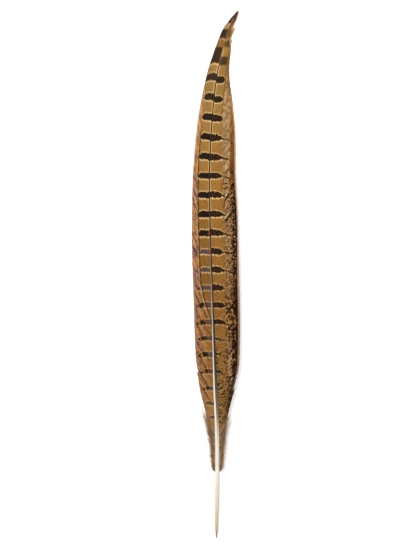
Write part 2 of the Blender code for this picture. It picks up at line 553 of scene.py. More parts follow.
def add_sockets(tree, inputs):
    """The tree's own inputs, each (name, kind of socket), and one output."""
    for name, kind in inputs:
        tree.interface.new_socket(name=name, in_out="INPUT", socket_type=f"NodeSocket{kind}")
    tree.interface.new_socket(name="Geometry", in_out="OUTPUT", socket_type="NodeSocketGeometry")


def drawn_together(g, given, root, reach, splits):
    """Barbs draw together into locks towards the edge, and apart at each split.

    Gives where a barb leans to, how far it reaches, its place in its lock from -0.5 to 0.5
    and a random number of its lock.
    """
    locks = g.node(
        "ShaderNodeTexVoronoi", {"W": g.divide(root, given["Lock width"]), "Scale": 1.0},
        voronoi_dimensions="1D",
    ).outputs
    luck = g.node("FunctionNodeSeparateColor", {"Color": locks["Color"]}).outputs[0]
    from_middle = g.sub(root, g.mul(locks["W"], given["Lock width"]))
    pull = g.mul(luck, LOCK_PULL, g.math("POWER", reach, LOCK_PULL_POWER))
    leaning = g.sub(root, g.mul(from_middle, pull))
    tip_reach = reach
    for place, gap, fade, shortening, lengthening in splits:
        off = g.sub(root, place)
        near = g.math("EXPONENT", g.mul(g.math("ABSOLUTE", off), -1.0 / fade))
        above = g.math("GREATER_THAN", off, 0.0)
        opening = g.mul(g.sub(above, SPLIT_SHARE_BELOW), gap)
        strength = g.mul(near, g.math("POWER", reach, SPLIT_POWER))
        leaning = g.add(leaning, g.mul(strength, opening))
        change = g.add(g.mul(above, -shortening - lengthening), lengthening)
        tip_reach = g.mul(tip_reach, g.add(1.0, g.mul(change, near)))
    return leaning, tip_reach, g.divide(from_middle, given["Lock width"]), luck


def barb_body(g, given, curve, which, out):
    """The body of a barb: a flat kite, thinner at its ends and turned up like a tile."""
    curve = g.node("GeometryNodeSetCurveNormal", {"Curve": curve}, mode="Z_UP").outputs[0]
    turn = g.random(-BARB_TURN, BARB_TURN, which, g.add(given["Seed"], 3))
    curve = g.node("GeometryNodeSetCurveTilt", {"Curve": curve, "Tilt": turn}).outputs[0]
    body = g.mul(g.step(out, 0.9, 1.0, 1.0, 0.4), g.step(out, 0.0, 0.15, 1.5, 1.0))
    half_depth = g.mul(given["Depth"], 0.5)
    profile = g.node(
        "GeometryNodeCurvePrimitiveQuadrilateral",
        {"Width": given["Width"], "Bottom Height": half_depth, "Top Height": half_depth},
        mode="KITE",
    )
    corner = g.node("GeometryNodeSplineParameter").outputs["Index"]
    profile = g.store(profile.outputs[0], "corner", corner)
    inputs = {"Curve": curve, "Profile Curve": profile, "Scale": body, "Fill Caps": True}
    solid = g.node("GeometryNodeCurveToMesh", inputs).outputs[0]
    inputs = {"Geometry": solid, "Shade Smooth": False}
    return g.node("GeometryNodeSetShadeSmooth", inputs).outputs[0]


def barb_tree(name, splits):
    """A tree that lays barbs one by one along a guide sheet and gives each its body."""
    tree = bpy.data.node_groups.new(name, "GeometryNodeTree")
    add_sockets(
        tree,
        (
            ("Guide", "Geometry"), ("Barbs", "Int"), ("Points", "Int"), ("First", "Float"),
            ("Last", "Float"), ("Width", "Float"), ("Depth", "Float"), ("Lock width", "Float"),
            ("Lift", "Float"), ("Fluff", "Float"), ("Spread", "Float"), ("Shortest", "Float"),
            ("Seed", "Int"), ("Material", "Material"),
        ),
    )
    g = Geometry(tree)
    given = g.node("NodeGroupInput").outputs

    # One straight spline, copied once for each barb
    line = g.node("GeometryNodeCurvePrimitiveLine").outputs[0]
    line = g.node("GeometryNodeResampleCurve", {"Curve": line, "Count": given["Points"]}).outputs[0]
    inputs = {"Geometry": line, "Amount": given["Barbs"]}
    copies = g.node("GeometryNodeDuplicateElements", inputs, domain="SPLINE").outputs
    which = copies["Duplicate Index"]
    spline = g.node("GeometryNodeSplineParameter").outputs
    out = spline["Factor"]

    # Where the barb leaves the shaft, and how far out this point is
    jitter = g.random(-BARB_JITTER, BARB_JITTER, which, given["Seed"])
    order = g.divide(g.add(g.add(which, 0.5), jitter), given["Barbs"])
    root = g.add(given["First"], g.mul(order, g.sub(given["Last"], given["First"])))
    shorter = g.random(given["Shortest"], 1.0, which, g.add(given["Seed"], 1))
    reach = g.mul(out, shorter)
    leaning, tip_reach, lock_side, lock_luck = drawn_together(g, given, root, reach, splits)

    def on_map(along_shaft, how_far):
        """A place on the guide sheet's map, kept just inside its edges."""
        share = g.divide(g.sub(along_shaft, FIRST_BARB), LAST_BARB - FIRST_BARB)
        reached = g.divide(how_far, GUIDE_REACH)
        return g.vector(*(g.within(value, 0.0, 0.9999) for value in (share, reached)))

    # The barb lies where it leans to, and is coloured for where it started
    position = g.node("GeometryNodeInputPosition").outputs[0]
    place = g.sampled(given["Guide"], position, on_map(leaning, tip_reach), "FLOAT_VECTOR")
    coloured_at = on_map(root, reach)
    facts = {
        title: g.sampled(given["Guide"], g.named(title), coloured_at)
        for title in ("along", "across", "width")
    }

    # Each lock lies a little over the next one, and the down stands up in wisps
    rise = g.add(g.mul(g.sub(lock_luck, 0.5), 0.8), lock_side)
    lift = g.mul(rise, given["Lift"], reach, g.step(facts["width"], 1.0, 12.0))
    # The noise jumps from barb to barb and changes slowly along each.
    wisp = g.node(
        "ShaderNodeTexNoise",
        {"Vector": g.vector(g.mul(which, 7.31), g.mul(out, 1.3)), "Scale": 1.0, "Detail": 0.0},
    ).outputs["Color"]
    wander = g.node(
        "ShaderNodeVectorMath", {0: g.vectors("SUBTRACT", wisp, (0.5, 0.5, 0.5))}, operation="SCALE"
    )
    g.feed(wander.inputs["Scale"], g.mul(given["Fluff"], reach, out))
    outward = g.mul(given["Spread"], g.step(reach, 0.0, 0.3))
    offset = g.vectors("ADD", g.vector(outward, 0.0, lift), wander.outputs[0])
    # Nothing sinks into the surface that the feather lies on.
    moved = g.vectors("MAXIMUM", g.vectors("ADD", place, offset), (-1.0, -1.0, LEAST_HEIGHT))
    inputs = {"Geometry": copies["Geometry"], "Position": moved}
    curve = g.node("GeometryNodeSetPosition", inputs).outputs[0]

    # What the colours and the map for baking go by
    facts |= {
        "root": root, "out": reach, "lock_side": lock_side, "order": which, "step": spline["Index"],
        "barb_tint": g.random(0.0, 1.0, which, g.add(given["Seed"], 2)),
    }
    for title, value in facts.items():
        curve = g.store(curve, title, value)

    solid = barb_body(g, given, curve, which, out)
    solid = g.node("GeometryNodeRealizeInstances", {"Geometry": solid}).outputs[0]
    inputs = {"Geometry": solid, "Material": given["Material"]}
    solid = g.node("GeometryNodeSetMaterial", inputs).outputs[0]
    g.feed(g.node("NodeGroupOutput").inputs["Geometry"], solid)
    return tree


def barb_map(mesh, barbs, points):
    """A flat map for baked colours, with every barb in a row of its strip."""
    facts = {}
    for name in ("order", "step", "corner"):
        values = np.empty(len(mesh.vertices), np.float32)
        mesh.attributes[name].data.foreach_get("value", values)
        facts[name] = np.rint(values).astype(int)
        mesh.attributes.remove(mesh.attributes[name])
    quads = np.empty(len(mesh.loops), np.int32)
    mesh.loops.foreach_get("vertex_index", quads)
    quads = quads.reshape(-1, 4)
    order, step, corner = (facts[name][quads] for name in ("order", "step", "corner"))
    upper = (corner == 0).any(axis=1, keepdims=True)
    a_strip = np.where(upper, -(-barbs // UPPER_STRIPS), -(-barbs // (MAP_STRIPS - UPPER_STRIPS)))
    strip = np.where(upper, 0, UPPER_STRIPS) + order // a_strip
    round_barb = np.where(upper, (corner + 1) % 4, corner - 1) / 2
    u = 0.05 + 0.9 * step / (points - 1)
    # The two ends of a barb are small squares beside its first and last faces.
    ends = step.min(axis=1, keepdims=True) == step.max(axis=1, keepdims=True)
    u = np.where(ends, np.where(step == 0, 0.01, 0.965) + 0.025 * (corner % 3 > 0), u)
    round_barb = np.where(ends, corner > 1, round_barb)
    places = np.empty((len(quads), 4, 2), np.float32)
    places[:, :, 0] = (strip + u) / MAP_STRIPS
    places[:, :, 1] = (order % a_strip + 0.1 + 0.8 * round_barb) / a_strip
    mesh.uv_layers.new(name="OFBake").uv.foreach_set("vector", places.ravel())


def shaft_map(mesh, sides, stations):
    """A flat map for baked colours: the shaft in as many lengths as there are strips."""
    length = -(-(stations - 1) // MAP_STRIPS) + 1
    baked = mesh.uv_layers.new(name="OFBake").uv
    for face in mesh.polygons:
        found = [divmod(mesh.loops[loop].vertex_index, sides) for loop in face.loop_indices]
        first = min(station for station, side in found)
        strip = first // length
        for loop, (station, side) in zip(face.loop_indices, found):
            if len(found) > 4:
                # The two ends are discs above the last and shortest length.
                angle = 2 * math.pi * side / sides
                u = 0.3 + 0.4 * (first > 0) + 0.15 * math.cos(angle)
                v = 0.97 + 0.02 * math.sin(angle)
                baked[loop].vector = ((MAP_STRIPS - 1 + u) / MAP_STRIPS, v)
                continue
            if side == 0 and max(other for _, other in found) == sides - 1:
                side = sides
            u = (strip + 0.06 + 0.88 * side / sides) / MAP_STRIPS
            baked[loop].vector = (u, 0.005 + 0.985 * (station - strip * length) / length)


def barbs_on(name, side, tree, settings):
    """A piece made of barbs: the tree is run on the side's guide sheet and made a plain mesh."""
    source = bpy.data.objects.new(name, guide_sheet(side))
    bpy.context.scene.collection.objects.link(source)
    modifier = source.modifiers.new("barbs", "NODES")
    modifier.node_group = tree
    for item in tree.interface.items_tree:
        if item.item_type == "SOCKET" and item.in_out == "INPUT" and item.name in settings:
            modifier[item.identifier] = settings[item.name]
    graph = bpy.context.evaluated_depsgraph_get()
    mesh = bpy.data.meshes.new_from_object(source.evaluated_get(graph))
    if not mesh.polygons:
        raise RuntimeError(f"{name}: the tree made no barbs")
    guide = source.data
    source.modifiers.remove(modifier)
    source.data = mesh
    mesh.name = name
    barb_map(mesh, settings["Barbs"], settings["Points"])
    bpy.data.meshes.remove(guide)
    return source


def ride_on_frame(piece):
    """The piece stands for the feather's solid and moves with its body."""
    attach(piece, BODY)
    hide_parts(NODE)


def new_material(name, roughness, shine):
    """A material and its shader, with the shader's own roughness and shine set."""
    material = bpy.data.materials.new(name)
    material.use_nodes = True
    surface = material.node_tree.nodes["Principled BSDF"]
    surface.inputs["Roughness"].default_value = roughness
    surface.inputs["Specular IOR Level"].default_value = shine
    return material, surface


class Vane(Shader):
    """Nodes of a vane's material, with the millimetres that its pattern goes by."""

    def __init__(self, tree, colours):
        super().__init__(tree)
        self.colours = colours
        self.along = self.attribute("along")
        self.across = self.attribute("across")
        self.root = self.attribute("root")
        self.barb = self.attribute("barb_tint")
        self.from_edge = self.sub(self.attribute("width"), self.across)

    def lengthwise(self, low, high, start=0.0, end=1.0):
        """A soft step between two distances from the quill's end."""
        return self.step(self.along, low, high, start, end)

    def stretch(self, low, high, soft):
        """1 on one stretch of the feather's length and 0 off it."""
        return self.band(self.along, low, high, soft)

    def course(self, points, low, high):
        """A smooth curve by the distance from the quill's end."""
        return self.curve(self.along, points, low, high)

    def fibres(self, root_scale, across_scale, seed=0.0, detail=2.0, roughness=0.6):
        """Noise that runs along the barbs."""
        place = (self.root, root_scale, self.across, across_scale)
        return self.noise(*place, seed, detail, roughness)

    def spots(self, along_scale, across_scale, seed, detail=2.0, roughness=0.6):
        """Noise that pays no heed to the barbs."""
        place = (self.along, along_scale, self.across, across_scale)
        return self.noise(*place, seed, detail, roughness)

    def barb_line(self, at, start, end, half):
        """A line along one barb: 1 on it between two distances from the shaft."""
        on_barb = self.band(self.root, at - half, at + half, 0.2)
        return self.mul(on_barb, self.band(self.across, start, end, 0.8))

    def ground(self):
        """The vane's gold, paler towards the tip."""
        low, middle, high = self.colours.gold_base, self.colours.gold_middle, self.colours.gold_tip
        return self.ramp(
            self.math("DIVIDE", self.along, LENGTH, clamp=True),
            ((0.18, low), (0.46, low), (0.66, middle), (0.86, high), (0.94, srgb(170, 126, 68))),
        )

    def back_from_tip(self, lag):
        """The distance back from the tip, with each barb out of step and the bars arched.

        The lag sets the bars that much nearer the quill.
        """
        ragged = self.add(
            self.mul(self.sub(self.fibres(0.55, 0.0), 0.5), 3.2),
            self.mul(self.sub(self.barb, 0.5), 1.2),
        )
        arch = self.mul(self.math("POWER", self.math("DIVIDE", self.across, 12.0), 2.0), 1.2)
        back = self.sub(self.add(self.sub(LENGTH, self.along), ragged), self.sub(arch, 0.3))
        return self.sub(back, lag)

    def shaded(self, colour):
        """Fine streaks along the barbs, and painted shade along the line where one lock ends."""
        streak = self.fibres(0.6, 0.10, 0.0, 3.0)
        grain = self.fibres(1.2, 0.5, 7.0, 3.0, 0.7)
        shade = self.add(self.mul(streak, 0.80), self.mul(self.sub(self.barb, 0.5), 0.26))
        shade = self.add(self.add(0.27, shade), self.mul(grain, 0.64))
        # Painted shade where one lock ends beside the next.
        lock_end = self.step(self.math("ABSOLUTE", self.attribute("lock_side")), 0.32, 0.5)
        gap = self.mul(lock_end, self.step(self.attribute("out"), 0.25, 0.8), 0.28)
        shade = self.mul(shade, self.sub(1.0, gap))
        grey = self.node("ShaderNodeCombineColor", {0: shade, 1: shade, 2: shade}).outputs[0]
        return self.mix(1.0, colour, grey, "MULTIPLY")

    def beside_shaft(self, colour, strength):
        """The thin pale line where a vane meets the shaft, over its upper half."""
        line = self.mul(self.band(self.across, 0.45, 1.15, 0.25), self.stretch(285.0, 470.0, 30.0))
        return self.over(colour, self.colours.cream, line, strength)

    def tip_bars(self, back, stops):
        """Darkness of the crowded bars at the tip, which follow no even step."""
        share = self.math("DIVIDE", back, TIP_PATTERN_ENDS, clamp=True)
        shades = [(place / TIP_PATTERN_ENDS, (dark, dark, dark)) for place, dark in stops]
        parted = self.node("ShaderNodeSeparateColor", {"Color": self.ramp(share, shades)})
        return parted.outputs[0]

    def reddish_end(self, colour, back):
        """The last few millimetres at the tip turn reddish brown."""
        return self.over(colour, srgb(104, 50, 22), self.step(back, 1.0, 8.0, 0.7, 0.0))

    def with_underside(self, colour):
        """The same pattern from below, but duller and paler."""
        normal = self.node("ShaderNodeNewGeometry").outputs["True Normal"]
        upward = self.node("ShaderNodeSeparateXYZ", {0: normal}).outputs[2]
        return self.over(colour, srgb(140, 116, 86), self.step(upward, -0.5, 0.0, 0.5, 0.0))


class Bars:
    """The regular dark bars, as far as both vanes have them alike."""

    def __init__(self, v, back):
        number = v.curve(back, BAR_NUMBERS, 0.0, 27.0)
        self.number = v.math("ROUND", number)
        gap = v.sub(BAR_SPACING, v.mul(BAR_SPACING_LOSS, self.number))
        offset = v.mul(v.sub(number, self.number), gap)
        self.distance = v.math("ABSOLUTE", offset)
        self.below = v.step(offset, -0.2, 0.2)
        self.luck = v.chance(v.add(self.number, 0.5))
        self.started = v.step(back, TIP_PATTERN_ENDS - 1.0, TIP_PATTERN_ENDS + 1.0)
        self.not_started = v.sub(1.0, self.started)
        self.ink = v.mix(v.lengthwise(380.0, 440.0), v.colours.bar_brown, v.colours.bar_tip)
        lit = v.lengthwise(225.0, 265.0, 0.4, 0.95)
        self.glow = v.mul(lit, v.step(self.luck, 0.0, 0.4, 0.8, 1.0))

    def painted(self, v, ground, half, shown, ink, glow):
        """A bar in its ink with a fine cream line round it, stronger on its lower side."""
        ring_end = v.add(v.add(half, 0.85), v.mul(self.below, 0.3))
        ring = v.band(self.distance, v.add(half, 0.3), ring_end, 0.3)
        lined = v.over(ground, v.colours.cream, ring, shown, glow)
        inside = v.step(self.distance, v.sub(half, 0.3), v.add(half, 0.3), 1.0, 0.0)
        return v.over(lined, ink, inside, shown)


def narrow_fringe(v, distance, patches, tufts, glint):
    """The colour outside the crease: blush with amber patches, and mauve near the bars."""
    fringe = v.mix(v.lengthwise(330.0, 390.0), v.colours.blush, srgb(204, 152, 98))
    amber = v.mul(v.step(patches, 0.49, 0.52), v.lengthwise(350.0, 440.0, 0.95, 0.4))
    fringe = v.over(fringe, srgb(186, 118, 42), amber)
    by_bars = v.add(v.step(distance, 2.0, 7.0, 0.06, 0.0), tufts)
    mauve = v.mul(v.step(by_bars, 0.53, 0.55), v.lengthwise(320.0, 400.0, 0.95, 0.3))
    fringe = v.over(fringe, v.colours.mauve, mauve)
    # Painted highlights: pale pink glints scattered over the fringe.
    fringe = v.over(fringe, srgb(210, 168, 130), v.step(glint, 0.57, 0.62, 0.0, 0.8))
    dark_line = v.fibres(0.42, 0.10, 17.0, roughness=0.5)
    return v.over(fringe, srgb(58, 33, 22), v.band(dark_line, 0.49, 0.51, 0.012), 0.8)


def narrow_ground(v, fringe, outside, low):
    """Gold inside the crease and the fringe outside it. Low down they run together."""
    # Painted shade: the narrow vane's gold is darkened a tenth, as the key light falls more on this
    # side.
    gold = v.mix(1.0, v.ground(), (0.9, 0.9, 0.88), "MULTIPLY")
    ground = v.over(gold, fringe, outside, v.sub(1.0, low))
    ground = v.over(ground, fringe, v.step(v.across, 3.0, 12.0, 0.1, 0.8), low)
    ground = v.shaded(ground)
    # Painted shade on the gold inside the crease, over the middle of the feather.
    gold_shade = v.mul(v.stretch(225.0, 320.0, 30.0), v.sub(1.0, outside))
    ground = v.over(ground, srgb(70, 50, 22), gold_shade, 0.22)
    ground = v.over(ground, srgb(196, 148, 92), v.lengthwise(120.0, 165.0, 0.3, 0.0))
    return v.beside_shaft(ground, 0.4)


def narrow_bars(v, bars, ground, patches, low):
    """Bars with rounded outer ends, slate beside the lower shaft."""
    thick = v.course(
        ((90, 1.1), (130, 1.7), (180, 2.05), (265, 2.2), (295, 2.7), (400, 3.1), (440, 3.8)),
        0.0, 4.0,
    )
    reach = v.course(
        (
            (90, 5.0), (101, 4.4), (114, 6.0), (127, 9.0), (150, 13.0), (200, 14.6), (232, 14.0),
            (246, 10.6), (330, 10.2), (387, 9.0), (419, 9.2), (436, 12.0), (500, 12.0),
        ),
        0.0, 20.0,
    )
    luck = v.sub(bars.luck, 0.5)
    reach = v.add(reach, v.mul(luck, 0.9))
    rounding = v.math("DIVIDE", v.sub(reach, v.across), 2.2, clamp=True)
    half = v.mul(v.add(thick, v.mul(luck, 0.5)), v.math("POWER", rounding, 0.45))
    shown = v.mul(v.step(half, 0.1, 0.5), bars.started)

    slate_ends = v.course(
        (
            (90, 14.0), (126, 14.0), (139, 6.4), (225, 6.8), (234, 11.5), (262, 11.5),
            (275, 7.5), (284, 0.2), (500, 0.0),
        ),
        0.0, 15.0,
    )
    slate = v.step(v.sub(v.across, slate_ends), -0.9, 0.4, 1.0, 0.0)
    ink = v.over(bars.ink, v.colours.bar_slate, slate, v.step(slate_ends, 0.0, 1.5))
    spot = v.mul(v.stretch(214.0, 296.0, 6.0), v.step(v.across, 1.0, 2.8, 0.8, 0.0))
    ink = v.over(ink, srgb(160, 70, 28), spot, v.step(bars.distance, 0.6, 1.8, 1.0, 0.0))
    ink = v.over(ink, srgb(104, 66, 40), v.step(patches, 0.53, 0.6), low)
    return bars.painted(v, ground, half, shown, ink, bars.glow)


def narrow_tip(v, bars, colour, back, tufts, glint):
    """The crowded bars at the tip of the narrow vane, and what lies between them."""
    tinge = v.mul(v.band(back, 28.8, 35.8, 0.8), v.step(glint, 0.46, 0.56, 0.9, 0.35))
    colour = v.over(colour, srgb(122, 82, 34), tinge)
    dotted = v.mul(v.band(back, 12.4, 18.4, 0.5), v.step(tufts, 0.45, 0.56, 0.8, 0.15))
    colour = v.over(colour, srgb(216, 174, 116), dotted)
    dark = v.tip_bars(
        back,
        (
            (0.0, 1.0), (11.8, 1.0), (13.0, 0.1), (15.0, 0.35), (17.4, 0.1), (18.8, 1.0),
            (26.4, 1.0), (27.6, 0.0), (34.9, 0.0), (36.1, 1.0), (50.0, 1.0), (51.2, 0.0),
            (55.0, 0.0),
        ),
    )
    colour = v.over(colour, v.colours.bar_tip, dark, bars.not_started)
    upper_line = v.mul(v.band(back, 27.6, 28.4, 0.4), v.step(glint, 0.50, 0.58, 0.0, 0.6))
    lower_line = v.band(back, 51.2, 52.4, 0.4)
    return v.over(colour, v.colours.cream, v.most(lower_line, upper_line), 0.65)


def narrow_creases(v, colour, from_crease, patches, tufts):
    """Painted shadow in the crease and a painted highlight just outside it, then painted shadow
    lines between locks and the amber barbs low down.
    """
    # Painted shadow along the crease.
    crease_shadow = v.mul(v.band(from_crease, -0.65, 0.35, 0.3), v.stretch(204.0, 388.0, 12.0))
    colour = v.over(colour, SOOT, crease_shadow, 0.85)
    # Painted highlight on the lit rise just outside the crease.
    ridge_highlight = v.mul(v.band(from_crease, 0.7, 1.7, 0.4), v.stretch(214.0, 385.0, 12.0))
    colour = v.over(colour, srgb(206, 150, 76), ridge_highlight, v.step(tufts, 0.45, 0.6, 0.7, 0.1))
    # Painted shadow between locks, along single barbs.
    for place in LOCK_SHADOW_BARBS:
        colour = v.over(colour, srgb(50, 26, 14), v.barb_line(*place), 0.85)
    patchy = v.step(patches, 0.44, 0.52, 0.15, 0.65)
    for place in AMBER_BARBS:
        colour = v.over(colour, srgb(190, 124, 48), v.barb_line(*place), patchy)
    return colour


def narrow_edge(v, colour, tufts, glint):
    """The line along the narrow vane's edge: tan, with a pale painted highlight high up and a
    pinkish one low down.
    """
    line = v.mix(v.lengthwise(390.0, 440.0), v.colours.rim, v.colours.rufous)
    colour = v.over(colour, line, v.step(v.from_edge, 0.25, 1.2, 1.0, 0.0), 0.65)
    # Painted highlights along the edge: pale high up, pinkish lower down.
    edge_highlight_high = v.mul(v.band(v.from_edge, 0.2, 1.4, 0.4), v.stretch(350.0, 412.0, 12.0))
    colour = v.over(colour, srgb(222, 190, 160), edge_highlight_high, v.step(glint, 0.42, 0.56, 0.3, 0.8))
    edge_highlight_low = v.mul(v.band(v.from_edge, 0.3, 2.2, 0.5), v.stretch(160.0, 262.0, 15.0))
    return v.over(colour, srgb(170, 128, 118), edge_highlight_low, v.step(tufts, 0.40, 0.55, 0.15, 0.75))


def narrow_vane_material(colours):
    """Gold with square bars inside a crease, and blush, amber and mauve outside it."""
    material, surface = new_material("narrow_vane", VANE_ROUGHNESS, VANE_SHINE)
    v = Vane(material.node_tree, colours)
    lag = v.course(
        (
            (90, 0.2), (240, 0.5), (300, 1.1), (400, 0.9), (418, 0.5), (440, 0.6), (447, 0.0),
            (500, 0.0),
        ),
        0.0, 3.0,
    )
    back = v.back_from_tip(lag)
    bars = Bars(v, back)
    crease = v.course(
        (
            (196, 0.2), (207, 1.9), (216, 4.5), (226, 7.1), (235, 8.7), (245, 10.0), (273, 10.4),
            (330, 10.2), (387, 9.4), (415, 8.8), (432, 9.6), (445, 10.5), (500, 10.5),
        ),
        0.0, 12.0,
    )
    from_crease = v.sub(v.across, crease)
    low = v.lengthwise(205.0, 250.0, 1.0, 0.0)
    patches = v.fibres(0.20, 0.30)
    tufts = v.fibres(0.18, 0.30, 4.0)
    glint = v.fibres(0.6, 0.4, 11.0)

    fringe = narrow_fringe(v, bars.distance, patches, tufts, glint)
    ground = narrow_ground(v, fringe, v.step(from_crease, -0.3, 0.5), low)
    colour = narrow_bars(v, bars, ground, patches, low)
    colour = narrow_tip(v, bars, colour, back, tufts, glint)
    colour = v.reddish_end(colour, back)
    colour = narrow_creases(v, colour, from_crease, patches, tufts)
    colour = narrow_edge(v, colour, tufts, glint)
    v.feed(surface.inputs["Base Color"], v.with_underside(colour))
    return material


def buff_zone(v, fine, clouds):
    """Buff past the gold: streaked near the tip, clouded and speckled lower down."""
    buff = v.mix(v.lengthwise(330.0, 410.0), v.colours.dark_buff, v.colours.buff)
    pale = v.fibres(0.8, 0.14, 6.0)
    buff = v.over(buff, srgb(196, 156, 112), v.step(pale, 0.54, 0.70, 0.0, 0.4))
    cloudy = v.lengthwise(300.0, 345.0, 0.5, 1.0)
    buff = v.over(buff, srgb(104, 64, 32), cloudy, v.step(clouds, 0.49, 0.52, 0.0, 0.9))
    buff = v.over(buff, srgb(206, 170, 120), cloudy, v.step(clouds, 0.46, 0.43, 0.0, 0.75))
    level = v.course(
        (
            (90, 0.49), (185, 0.50), (225, 0.535), (322, 0.555), (340, 0.61), (360, 0.75),
            (500, 0.9),
        ),
        0.4, 1.0,
    )
    buff = v.over(buff, srgb(206, 166, 112), v.step(v.sub(level, fine), 0.10, 0.18, 0.0, 0.4))
    speck = v.step(v.sub(fine, level), -0.012, 0.018, 0.0, 0.95)
    return v.over(buff, v.colours.bar_brown, speck)


def wide_ground(v, past_gold, fine, clouds):
    """Gold beside the shaft and buff past it, with fine dark worms low down."""
    softness = v.lengthwise(375.0, 405.0, 2.2, 0.8)
    into_buff = v.add(past_gold, v.mul(v.sub(clouds, 0.5), softness, 5.0))
    in_buff = v.step(into_buff, v.mul(softness, -1.0), softness)
    ground = v.over(v.ground(), buff_zone(v, fine, clouds), in_buff)
    seam = v.mul(v.band(past_gold, -0.5, 0.4, 0.35), v.lengthwise(380.0, 410.0, 0.0, 0.65))
    ground = v.over(ground, v.colours.rufous, seam)
    ground = v.over(ground, srgb(190, 144, 80), v.lengthwise(150.0, 190.0, 0.35, 0.0))
    olive = v.mul(v.lengthwise(150.0, 190.0, 0.5, 0.0), v.step(clouds, 0.46, 0.54, 0.2, 1.0))
    ground = v.over(ground, srgb(78, 58, 32), olive)
    worms = v.step(v.spots(0.5, 0.24, 21.0), 0.55, 0.58)
    return v.over(ground, srgb(40, 27, 16), worms, v.lengthwise(165.0, 205.0, 0.95, 0.0))


def outer_zone(v, blotch, fleck):
    """Rufous under near black blotches, with amber flecks and golden dots."""
    rufous = v.mix(v.lengthwise(350.0, 400.0), v.colours.rufous, srgb(182, 122, 66))
    rufous = v.over(rufous, v.colours.amber, v.step(fleck, 0.52, 0.58, 0.0, 0.8))
    seams = v.noise(v.from_edge, 0.7, v.along, 0.05, 41.0)
    seams = v.mul(v.step(seams, 0.49, 0.54), v.lengthwise(335.0, 365.0, 0.1, 0.85))
    rufous = v.over(rufous, srgb(98, 50, 20), seams)
    level = v.course(
        (
            (90, 0.46), (190, 0.425), (290, 0.415), (325, 0.45), (345, 0.53), (365, 0.64),
            (500, 0.85),
        ),
        0.3, 0.9,
    )
    rufous = v.over(rufous, SOOT, v.step(v.sub(blotch, level), -0.02, 0.03))
    dots = v.mul(v.step(fleck, 0.405, 0.38), v.stretch(190.0, 340.0, 20.0))
    return v.over(rufous, srgb(222, 166, 96), dots, 0.95)


def low_mottles(v, ground, gold_ends, wander, fine, patchy):
    """Near black mottles on gold low down, where the outer zones run together."""
    mottle = v.ramp(
        v.add(patchy, v.step(v.from_edge, 3.0, 9.0, 0.10, 0.008)),
        (
            (0.40, srgb(212, 156, 88)), (0.44, srgb(162, 112, 56)), (0.50, srgb(130, 88, 44)),
            (0.525, srgb(88, 56, 28)), (0.55, SOOT),
        ),
    )
    start = v.mul(v.sub(wander, 2.0), v.lengthwise(150.0, 240.0, 0.2, 0.6))
    into = v.sub(v.across, v.add(gold_ends, start))
    share = v.step(v.add(into, v.mul(v.sub(fine, 0.5), 14.0)), -0.3, 1.6)
    fading = v.mul(v.lengthwise(215.0, 262.0, 0.95, 0.0), v.lengthwise(112.0, 160.0, 0.35, 1.0))
    return v.over(ground, mottle, share, fading)


def wide_rim(v, ground, patchy):
    """The pale rim and the dark line inside it."""
    shady = v.mul(v.band(v.from_edge, 1.8, 4.4, 0.6), v.stretch(150.0, 238.0, 15.0))
    ground = v.over(ground, SOOT, shady, v.step(patchy, 0.42, 0.52, 0.45, 0.95))
    line = v.mul(v.band(v.from_edge, 1.9, 3.0, 0.3), v.stretch(150.0, 340.0, 25.0))
    ground = v.over(ground, srgb(34, 20, 12), line)
    inside = v.sub(v.from_edge, v.lengthwise(240.0, 300.0, 0.9, 0.0))
    inside = v.sub(inside, v.lengthwise(300.0, 345.0, 0.0, 0.35))
    rim = v.mul(v.step(inside, 1.1, 1.7, 1.0, 0.0), v.stretch(145.0, 422.0, 14.0))
    colour = v.mix(v.lengthwise(290.0, 340.0), v.colours.rim, srgb(204, 150, 96))
    colour = v.mix(v.lengthwise(185.0, 230.0, 1.0, 0.0), colour, srgb(160, 124, 94))
    return v.over(ground, colour, rim, 0.95)


def wide_bars(v, bars, ground, gold_ends, blotched_from, fleck):
    """Bars that are blunt near the tip, and spindles with broken thin ends below."""
    end_at = v.add(v.sub(gold_ends, 0.3), v.mul(v.sub(bars.luck, 0.5), 1.2))
    taper = v.course(((90, 4.0), (240, 4.0), (372, 4.6), (405, 2.2), (500, 2.0)), 0.0, 8.0)
    spindle = v.math("DIVIDE", v.sub(end_at, v.across), taper, clamp=True)
    thick = v.course(
        ((90, 1.1), (170, 1.2), (190, 1.4), (206, 2.3), (240, 2.7), (300, 2.9), (440, 3.4)),
        0.0, 4.0,
    )
    half = v.sub(v.mul(v.math("POWER", spindle, 0.5), thick), 0.1)
    broken = v.noise(v.across, 0.55, bars.number, 3.7, 1.0, 1.0, 0.5)
    beyond = v.band(v.across, v.sub(end_at, 1.0), v.sub(blotched_from, 0.5), 0.6)
    dash = v.mul(v.step(broken, 0.36, 0.44), beyond, v.stretch(245.0, 388.0, 5.0))
    half = v.most(half, v.sub(v.mul(dash, 1.1), 0.3))
    kept_inward = v.add(broken, v.step(v.across, 3.0, 7.0, 0.24, -0.05))
    whole = v.most(v.lengthwise(186.0, 200.0), v.step(kept_inward, 0.46, 0.52))
    shown = v.mul(v.step(half, 0.1, 0.45), bars.started, whole)
    warm = v.mul(v.step(v.sub(half, bars.distance), 0.5, 1.6), v.step(fleck, 0.40, 0.55, 0.0, 0.45))
    ink = v.over(bars.ink, srgb(92, 52, 26), warm, v.lengthwise(380.0, 420.0, 1.0, 0.0))
    glow = v.mul(bars.glow, v.step(v.sub(v.across, gold_ends), -1.0, 2.0, 1.0, 0.25))
    return bars.painted(v, ground, half, shown, ink, glow)


